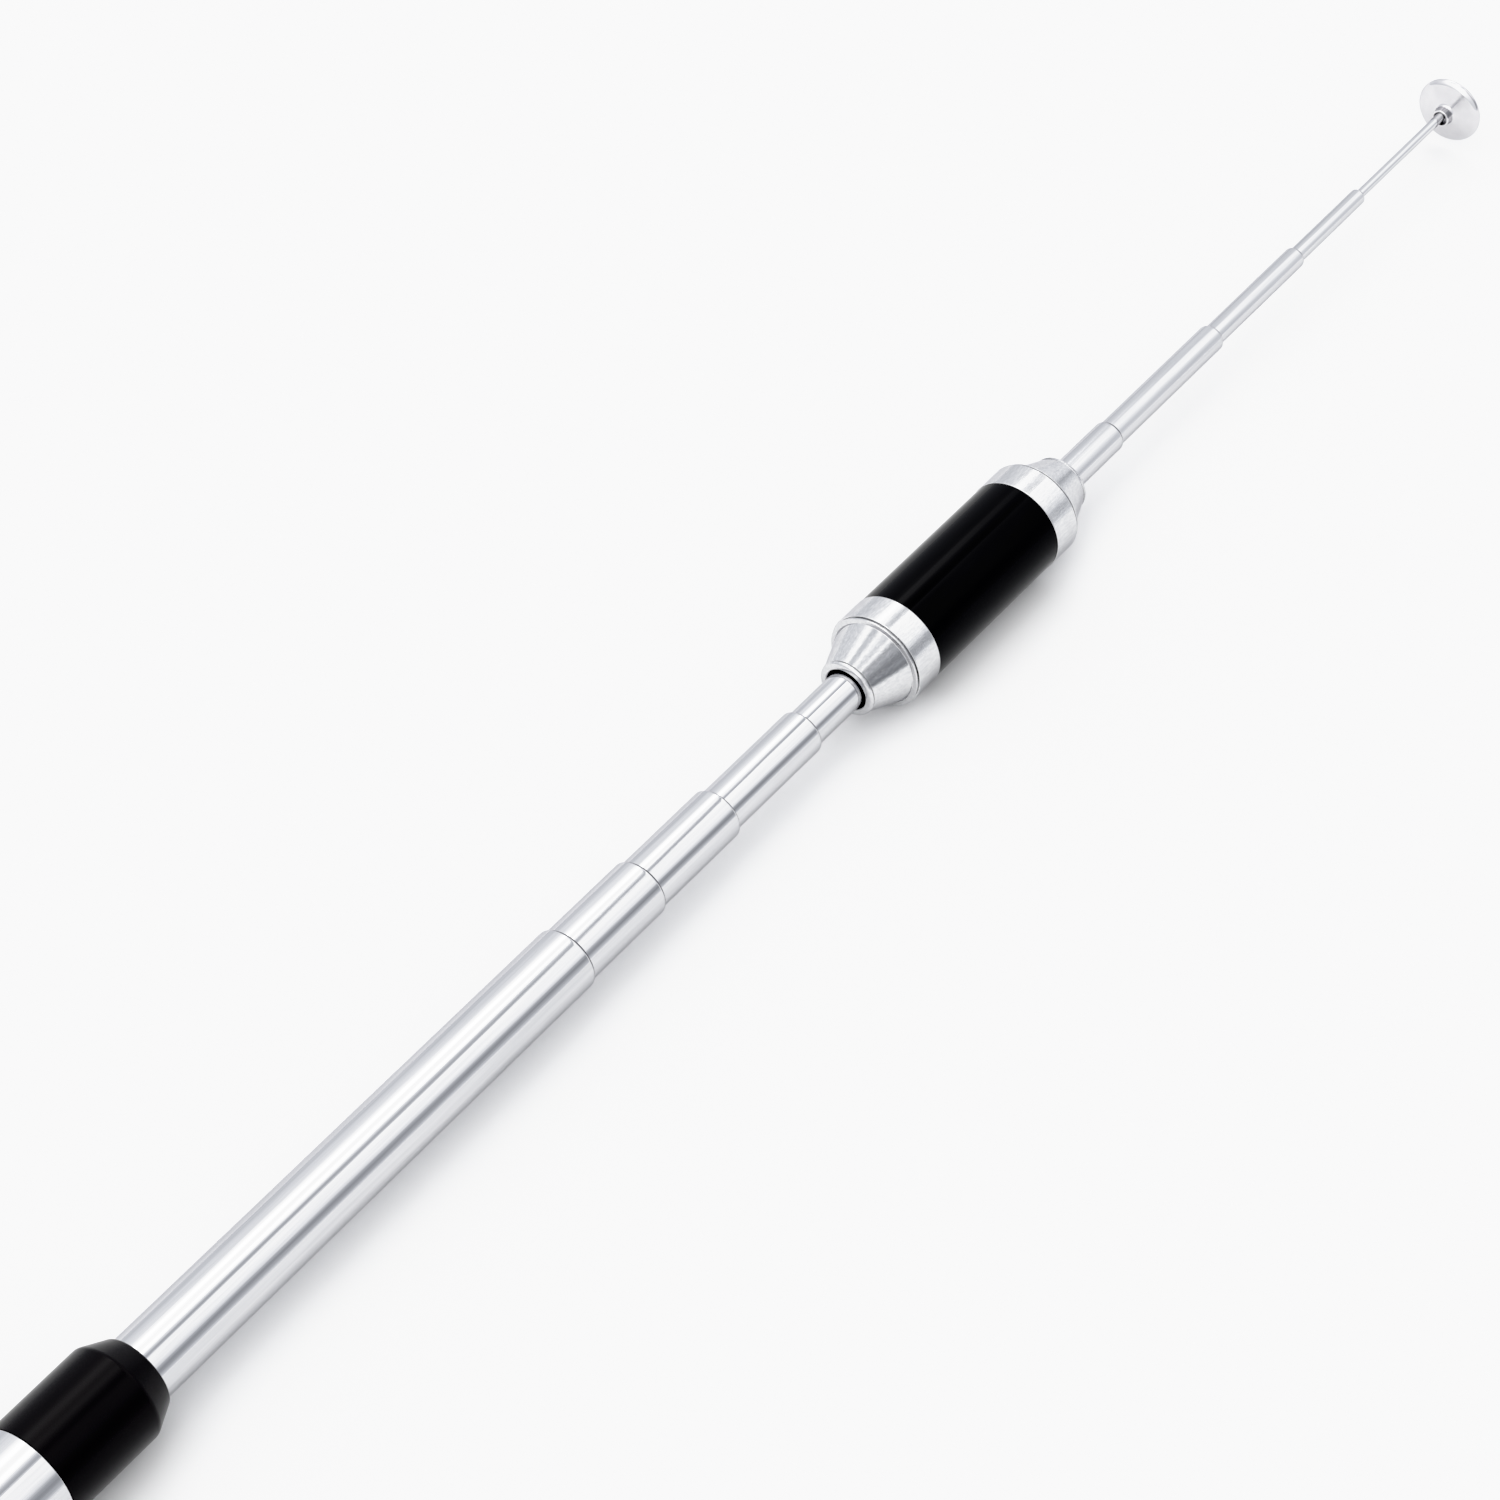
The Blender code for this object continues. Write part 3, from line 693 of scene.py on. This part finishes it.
def make_mast_seat():
    """Bush, plug and cross pin that hold the first tube inside the handle."""
    tube_start, _, tube_radius = span("section_1")
    start, end, outside = span("mast_bush")
    bush = ring_outline(start, end, tube_radius + SEAT_GAP, outside, SMALL_EDGE, BROAD_EDGE)
    turn_drilled_piece("mast_bush", "turned", bush)

    start, end, flange = span("mast_plug")
    seat = tube_start - SEAT_GAP
    spigot = radius_near("mast_plug", end, end)
    plug = rounded([
        (start, 0.0, 0), (start, flange, BROAD_EDGE), (seat, flange, SLIGHT_EDGE),
        (seat, spigot, SLIGHT_EDGE), (end, spigot, BROAD_EDGE), (end, 0.0, 0)])
    turn_drilled_piece("mast_plug", "turned", plug)

    low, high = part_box("mast_pin")
    half = high.z / MM
    radius = (high.x - low.x) / 2 / MM
    outline = rounded([
        (-half, 0.0, 0), (-half, radius, SMALL_EDGE), (half, radius, SMALL_EDGE), (half, 0.0, 0)])
    pin = lathe("mast_pin_ground", outline, THIN_SIDES)
    upright = Matrix.Rotation(pi / 2, 4, "Y")
    pin.data.transform(Matrix.Translation(((low.x + high.x) / 2, 0.0, 0.0)) @ upright)
    finish_piece(pin, "mast_pin")


# ---------------------------------------------------------------- barrel

def cap_outline(node, face, facing):
    """End cap: rounded nose, crease, cone, stepped shoulder, groove and plain ring; pocket inside."""
    def radius_at(depth, reach, pick=max):
        stations = sorted((face + facing * (depth - reach), face + facing * (depth + reach)))
        return radius_near(node, *stations, pick)

    _, _, ring = span(node)
    inside = bore(node) + NOSE_GAP
    nose = radius_at(NOSE_LENGTH, PROBE)
    cone = radius_at(CONE_END, FINE_PROBE)
    tail = max(abs(station - face) for station, _ in corner_rings(node))
    spigot = radius_at(tail, FINE_PROBE)
    pocket = radius_at(tail, FINE_PROBE, min)
    shoulder = ring - SHOULDER_STEP
    groove = ring - GROOVE_DEPTH
    crease = nose - (NOSE_CREASE if facing > 0 else FAR_NOSE_CREASE)
    turns = [pi / 2 * step / NOSE_STEPS for step in range(NOSE_STEPS + 1)]
    nose_top = [
        Vector((NOSE_LENGTH - NOSE_LENGTH * cos(turn), nose - NOSE_BULGE + NOSE_BULGE * sin(turn)))
        for turn in turns]
    body = rounded([
        (NOSE_LENGTH, nose, 0), (NOSE_LENGTH + CREASE_SIDE, crease, 0),
        (CONE_START - CREASE_SIDE, crease, 0), (CONE_START, nose - CREASE_SIDE, HAIR_EDGE),
        (CONE_END, cone, THIN_EDGE), (CONE_END + CONE_FLARE, shoulder, SLIGHT_EDGE),
        (SHOULDER_END, shoulder + SHOULDER_RISE, THIN_EDGE),
        (SHOULDER_END + GROOVE_SIDE, groove, GROOVE_SIDE),
        (GROOVE_END - GROOVE_SIDE, groove, GROOVE_SIDE), (GROOVE_END, ring, RIM_EDGE),
        (RING_LENGTH_END, ring, RIM_EDGE), (RING_LENGTH_END, spigot, FINE_EDGE),
        (tail, spigot, BROAD_EDGE), (tail, pocket, SMALL_EDGE), (CAP_WEB, pocket, SLIGHT_EDGE),
        (CAP_WEB, inside, FINE_EDGE), (NOSE_CHAMFER, inside, 0), (0.0, inside + NOSE_CHAMFER, 0)])
    return [Vector((face + facing * depth, radius)) for depth, radius in nose_top + body[1:]]


def make_barrel():
    for node, facing in (("near_cap", 1), ("far_cap", -1)):
        start, end, _ = span(node)
        turn_piece(node, "turned", cap_outline(node, start if facing > 0 else end, facing), WIDE_SIDES)

    start, end, outside = span("barrel_sleeve")
    ring = ring_outline(start, end, bore("barrel_sleeve"), outside, SLIGHT_EDGE, SLIGHT_EDGE)
    turn_piece("barrel_sleeve", "lacquered", ring, WIDE_SIDES)

    for node in ("near_bush", "far_bush", "near_stop_ring", "far_stop_ring"):
        make_ring(node, BUSH_EDGE)

    start, end, flange = span("barrel_core")
    inside = bore("barrel_core")
    neck = radius_near("barrel_core", start, start)
    wide = [station for station, radius in corner_rings("barrel_core") if radius > flange - PROBE]
    spool = rounded([
        (start, inside, SMALL_EDGE), (start, neck, BROAD_EDGE),
        (min(wide), neck, SMALL_EDGE), (min(wide), flange, BROAD_EDGE),
        (max(wide), flange, BROAD_EDGE), (max(wide), neck, SMALL_EDGE),
        (end, neck, BROAD_EDGE), (end, inside, SMALL_EDGE)])
    turn_piece("barrel_core", "spacer", spool, TUBE_SIDES)


def make_ring(node, edge):
    start, end, outside = span(node)
    turn_piece(node, "ring", ring_outline(start, end, bore(node), outside, edge / 2, edge), TUBE_SIDES)


# ---------------------------------------------------------------- head

def make_head():
    start, end, disc = span("head_cup")
    hub = radius_near("head_cup", start + PROBE, start + HUB_DEPTH - 2 * PROBE)
    hole = bore("head_cup")
    cavity = radius_near("head_cup", start + CAVITY_FLOOR, start + CAVITY_FLOOR)
    pocket = radius_near("head_cup", end, end, min)
    cup = rounded([
        (start, hole, SLIGHT_EDGE), (start, hub, HUB_EDGE),
        (start + HUB_DEPTH, hub + HUB_FLARE, WIDE_EDGE),
        (start + CUP_EDGE, disc - CUP_EDGE_INSET, CUP_EDGE_ROUNDING),
        (start + CUP_EDGE + CUP_RIM_LENGTH, disc, BROAD_EDGE), (end - CUP_FACE_INSET, disc, BROAD_EDGE),
        (end, disc - CUP_FACE_INSET, SMALL_EDGE), (end, pocket, THIN_EDGE),
        (start + POCKET_FLOOR, pocket, SLIGHT_EDGE), (start + POCKET_FLOOR, cavity, SLIGHT_EDGE),
        (start + CAVITY_FLOOR, cavity, SLIGHT_EDGE), (start + CAVITY_FLOOR, hole, FINE_EDGE)])
    turn_piece("head_cup", "turned", cup, WIDE_SIDES)

    start, end, radius = span("magnet")
    magnet = rounded([
        (start, 0.0, 0), (start, radius, MAGNET_EDGE), (end, radius, MAGNET_EDGE), (end, 0.0, 0)])
    turn_piece("magnet", "disc", magnet, WIDE_SIDES)
    make_ring("rod_collar", SLIGHT_EDGE)


# ---------------------------------------------------------------- studio and camera

def sky_ramp(tree, share, stops):
    """Colour ramp of brightness round the tool; the darker a stop, the cooler its tint."""
    ramp = add_node(tree, "ShaderNodeValToRGB", {"Fac": share})
    elements = ramp.color_ramp.elements
    while len(elements) < len(stops):
        elements.new(0.5)
    for element, (angle, light) in zip(elements, stops):
        element.position = (angle - STRAIGHT_DOWN) / 360.0
        coolness = max(0.0, min(1.0, COOL_BELOW - light))
        tint = [warm + (cool - warm) * coolness for warm, cool in zip(WARM, COOL)]
        element.color = (*[light / SKY_PEAK * part for part in tint], 1.0)
    return ramp.outputs["Color"]


def make_studio():
    """Sky of soft boxes round the tool's axis for light and reflections; the camera sees plain white."""
    world = bpy.data.worlds.new("studio")
    bpy.context.scene.world = world
    world.use_nodes = True
    tree = world.node_tree
    tree.nodes.clear()
    direction = add_node(tree, "ShaderNodeTexCoord").outputs["Generated"]
    parts = add_node(tree, "ShaderNodeSeparateXYZ", {"Vector": direction}).outputs

    def calculate(operation, first, second):
        return add_node(tree, "ShaderNodeMath", {0: first, 1: second}, operation=operation).outputs[0]

    def ease(zone, low=0.0, high=1.0):
        """Smooth change between two values, across a zone of the direction's X component."""
        change = add_node(tree, "ShaderNodeMapRange", {
            "Value": parts["X"], "From Min": zone[0], "From Max": zone[1],
            "To Min": low, "To Max": high}, interpolation_type="SMOOTHSTEP")
        return change.outputs["Result"]

    angle = calculate("ARCTAN2", parts["Z"], parts["Y"])

    def round_share(turn):
        """Share of a full turn round the tool, from straight down, after turning the sky by an angle."""
        wrapped = calculate("FLOORED_MODULO", calculate("ADD", angle, turn), tau)
        return calculate("DIVIDE", wrapped, tau)

    share = round_share(pi / 2)
    gap = sky_ramp(tree, round_share(ease(DRIFT_ZONE, pi / 2, pi / 2 + LINE_DRIFT)), GAP)
    across = mix_colours(tree, 1.0, sky_ramp(tree, share, ACROSS), gap, "DARKEN")
    tail = sky_ramp(tree, share, TAIL_LIGHT)
    sky = mix_colours(tree, ease(TAIL_TO_BEHIND), tail, sky_ramp(tree, share, BEHIND))
    sky = mix_colours(tree, ease(BEHIND_TO_ACROSS), sky, across)
    sky = mix_colours(tree, ease(ACROSS_TO_AHEAD), sky, sky_ramp(tree, share, AHEAD))
    sky = mix_colours(tree, ease(AHEAD_TO_BEYOND), sky, sky_ramp(tree, share, BEYOND))
    light = add_node(tree, "ShaderNodeBackground", {"Color": sky, "Strength": SKY_PEAK * SKY_STRENGTH})
    plain = add_node(tree, "ShaderNodeBackground", {"Color": BACKDROP, "Strength": BACKDROP_LIGHT})
    seen = add_node(tree, "ShaderNodeLightPath").outputs["Is Camera Ray"]
    both = add_node(tree, "ShaderNodeMixShader", {0: seen, 1: light.outputs[0], 2: plain.outputs[0]})
    add_node(tree, "ShaderNodeOutputWorld", {"Surface": both.outputs[0]})


def make_floor():
    shape = bmesh.new()
    bmesh.ops.create_grid(shape, x_segments=1, y_segments=1, size=FLOOR_SIZE / 2)
    floor = add_mesh_object("floor", shape)
    floor.location = (AIM.x * MM, 0.0, cad_bounds[0].z)
    material, tree, shader = start_finish("floor")
    set_shader(tree, shader, Base_Color=FLOOR_WHITE, Roughness=0.9, Specular_IOR_Level=0.1)
    floor.data.materials.append(material)


def make_camera():
    data = bpy.data.cameras.new("camera")
    data.lens = LENS
    data.sensor_width = SENSOR
    data.clip_start = NEAREST_SEEN
    data.clip_end = FARTHEST_SEEN
    camera = add_object("camera", data)
    view = Vector((cos(HEADING) * cos(DROP), sin(HEADING) * cos(DROP), -sin(DROP)))
    camera.location = (AIM - view * DISTANCE) * MM
    camera.rotation_euler = (pi / 2 - DROP, 0.0, HEADING - pi / 2)
    bpy.context.scene.camera = camera


def set_tones():
    settings = bpy.context.scene.view_settings
    settings.view_transform = "Standard"
    settings.use_curve_mapping = True
    mapping = settings.curve_mapping
    mapping.clip_max_x = TONES[-1][0]
    curve = mapping.curves[3]
    while len(curve.points) < len(TONES):
        curve.points.new(0.5, 0.5)
    for point, (light, shown) in zip(curve.points, TONES):
        point.location = (light, shown)
        point.handle_type = "AUTO_CLAMPED"
    mapping.update()


make_camera()
make_studio()
make_floor()
make_handle()
make_collar()
make_mast_seat()
make_tubes()
make_rod()
make_liners()
make_barrel()
make_head()

set_tones()
